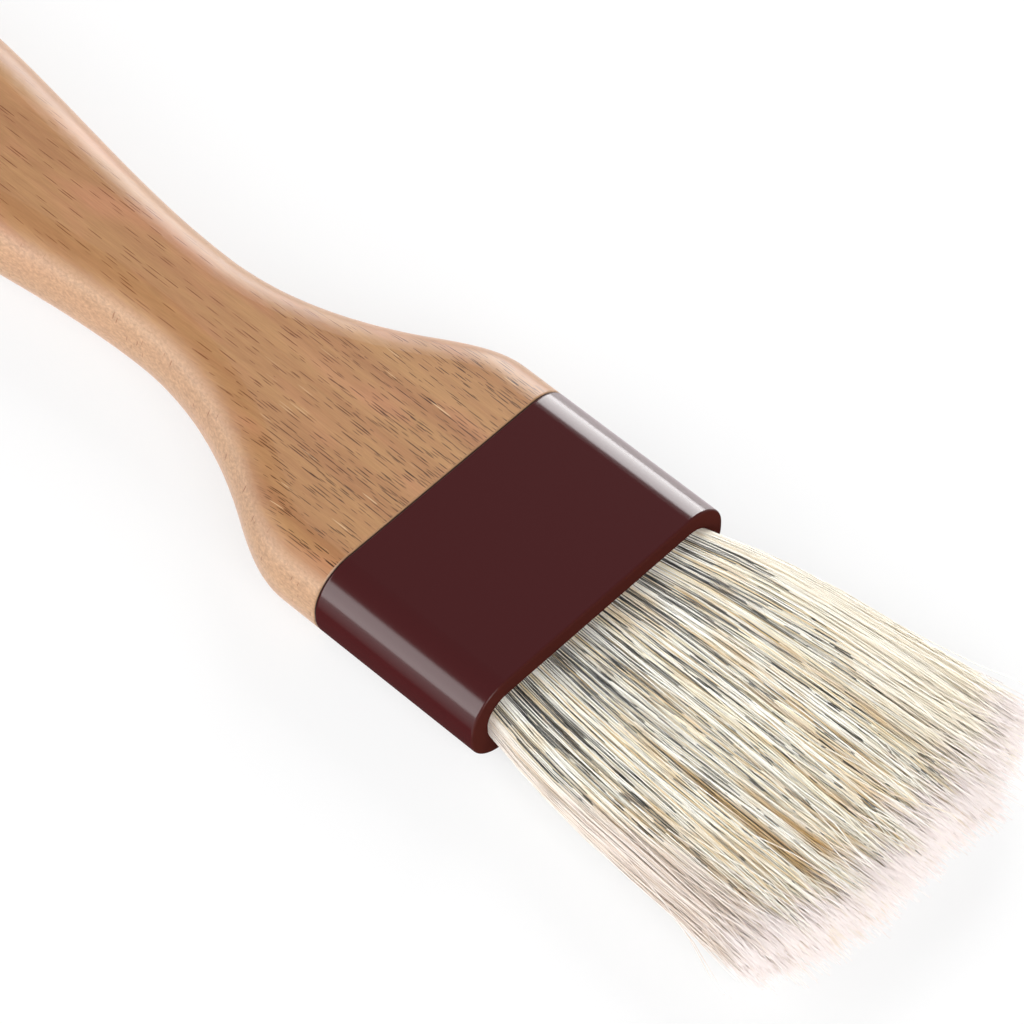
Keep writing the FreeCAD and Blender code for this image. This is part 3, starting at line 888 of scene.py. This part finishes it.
# A dark bristle is dark from its root to its dark length. Beyond it come dashes, which get
# shorter and fewer towards the tip. These marks are partly dark bristles and partly painted shade
# between bristles.
faster = add_node(tree, "ShaderNodeMath", {0: carried["along"], 1: 3.0}, operation="POWER")
faster = add_node(
    tree, "ShaderNodeMath", {0: faster.outputs[0], 1: DASHES_FASTER}, operation="MULTIPLY"
)
even = add_node(tree, "ShaderNodeMath", {0: carried["along"], 1: DASHES_EVEN}, operation="MULTIPLY")
own_line = add_node(
    tree, "ShaderNodeMath", {0: carried["tone"], 1: LINES_APART}, operation="MULTIPLY"
)
dash_at = add_node(
    tree, "ShaderNodeMath", {0: even.outputs[0], 1: faster.outputs[0]}, operation="ADD"
)
streak_at = add_node(
    tree, "ShaderNodeCombineXYZ", {0: own_line.outputs[0], 1: dash_at.outputs[0]}
)
streak = add_node(
    tree, "ShaderNodeTexNoise", {"Vector": streak_at.outputs[0], "Scale": 1.0, "Detail": 0.0}
)
within = add_node(
    tree, "ShaderNodeMath", {0: carried["along"], 1: carried["dark"]}, operation="LESS_THAN"
)
fading = add_node(
    tree, "ShaderNodeMapRange",
    {0: carried["along"], 1: DASHED_SPAN[0], 2: DASHED_SPAN[1],
     3: DASHED_SHARE[0], 4: DASHED_SHARE[1]},
)
gather = add_node(
    tree, "ShaderNodeMapRange",
    {0: patch, 1: PATCH_RANGE[0], 2: PATCH_RANGE[1], 3: DASHED_UNEVEN, 4: -DASHED_UNEVEN},
)
limit = add_node(
    tree, "ShaderNodeMath", {0: fading.outputs[0], 1: gather.outputs[0]}, operation="ADD"
)
again = add_node(
    tree, "ShaderNodeMath", {0: streak.outputs["Fac"], 1: limit.outputs[0]}, operation="LESS_THAN"
)
is_dark = add_node(
    tree, "ShaderNodeMath", {0: carried["dark"], 1: 0.001}, operation="GREATER_THAN"
)
again = add_node(
    tree, "ShaderNodeMath", {0: again.outputs[0], 1: is_dark.outputs[0]}, operation="MULTIPLY"
)
dark = add_node(
    tree, "ShaderNodeMath", {0: within.outputs[0], 1: again.outputs[0]}, operation="MAXIMUM"
)
# Painted light washes the dark marks off the flanks.
outside_lit_flank = add_node(tree, "ShaderNodeMath", {0: calmness, 1: LIT_FLANK_BELOW}, operation="LESS_THAN")
dark = add_node(
    tree, "ShaderNodeMath", {0: dark.outputs[0], 1: outside_lit_flank.outputs[0]}, operation="MULTIPLY"
)

# The split ends are paler, partly in their own colour and partly as a painted wash of light,
# and start at an uneven line.
ragged = add_node(
    tree, "ShaderNodeMapRange",
    {0: patch, 1: PATCH_RANGE[0], 2: PATCH_RANGE[1], 3: -TIP_UNEVEN, 4: TIP_UNEVEN},
)
tip_at = add_node(
    tree, "ShaderNodeMath", {0: carried["along"], 1: ragged.outputs[0]}, operation="ADD"
)
tip = add_node(
    tree, "ShaderNodeMapRange", {0: tip_at.outputs[0], 1: TIP_RANGE[0], 2: TIP_RANGE[1]},
    interpolation_type="SMOOTHSTEP",
)
for mask, colour in ((dark, DARK_BRISTLE_AND_SHADE), (tip, SPLIT_LIT_TIP)):
    hue = add_node(
        tree, "ShaderNodeMix", {0: mask.outputs[0], 6: hue, 7: linear(colour)}, data_type="RGBA"
    ).outputs[2]
hair = add_node(
    tree, "ShaderNodeBsdfPrincipled",
    {"Base Color": hue, "Roughness": 0.40, "IOR": HAIR_IOR,
     "Sheen Weight": 0.5, "Sheen Roughness": 0.4},
)
add_node(tree, "ShaderNodeOutputMaterial", {"Surface": hair.outputs[0]})


def strands_mesh(name, chosen):
    """One lock's bristles as tapered square tubes, with the shares that the material reads."""
    curve = bpy.data.curves.new(name, "CURVE")
    curve.dimensions = "3D"
    curve.bevel_depth = MM
    curve.bevel_resolution = 0
    curve.twist_mode = "Z_UP"
    stations = len(along)
    for i in chosen:
        spline = curve.splines.new("POLY")
        spline.points.add(stations - 1)
        places = (x[i] * MM, mouth_y + s[i] * MM, mid_z + z[i] * MM, np.ones(stations))
        spline.points.foreach_set("co", np.stack(places, axis=1).ravel())
        spline.points.foreach_set("radius", radius[i])
        spline.points.foreach_set("tilt", np.full(stations, TUBE_TURN))
    piece = bpy.data.objects.new(name, curve)
    bpy.context.scene.collection.objects.link(piece)
    bpy.ops.object.select_all(action="DESELECT")
    piece.select_set(True)
    bpy.context.view_layer.objects.active = piece
    bpy.ops.object.convert(target="MESH")
    piece = bpy.context.object
    bpy.ops.object.mode_set(mode="EDIT")
    bpy.ops.mesh.select_all(action="SELECT")
    bpy.ops.mesh.fill_holes(sides=4)
    bpy.ops.mesh.normals_make_consistent(inside=False)
    bpy.ops.object.mode_set(mode="OBJECT")
    sides = len(piece.data.vertices) // (len(chosen) * stations)
    shares = {
        "tone": np.repeat(tone[chosen], stations * sides),
        "deep": np.repeat(deep[chosen], stations * sides),
        "dark": np.repeat(dark_to[chosen], stations * sides),
        "along": np.tile(np.repeat(along, sides), len(chosen)),
        "valley": np.repeat(valley[chosen].ravel(), sides),
        "calm": np.repeat(calm[chosen].ravel(), sides),
    }
    for label, values in shares.items():
        layer = piece.data.attributes.new(label, "FLOAT", "POINT")
        layer.data.foreach_set("value", values.astype(np.float32))
    piece.data.materials.append(bristle)
    return piece


lane = np.clip(((x0 / MOUTH_HALF[0] + 1) / 2 * LANES).astype(int), 0, LANES - 1)
for row_name, sign in (("upper", 1), ("lower", -1)):
    for k in range(LANES):
        chosen = np.flatnonzero((lane == k) & (np.sign(z0) == sign))
        piece = strands_mesh("bristles_%s_%d" % (row_name, k + 1), chosen)
        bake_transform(piece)
        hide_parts("bristle_lock_%s_%d" % (row_name, k + 1))
        if k == 0:
            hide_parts("bristle_butts_" + row_name)
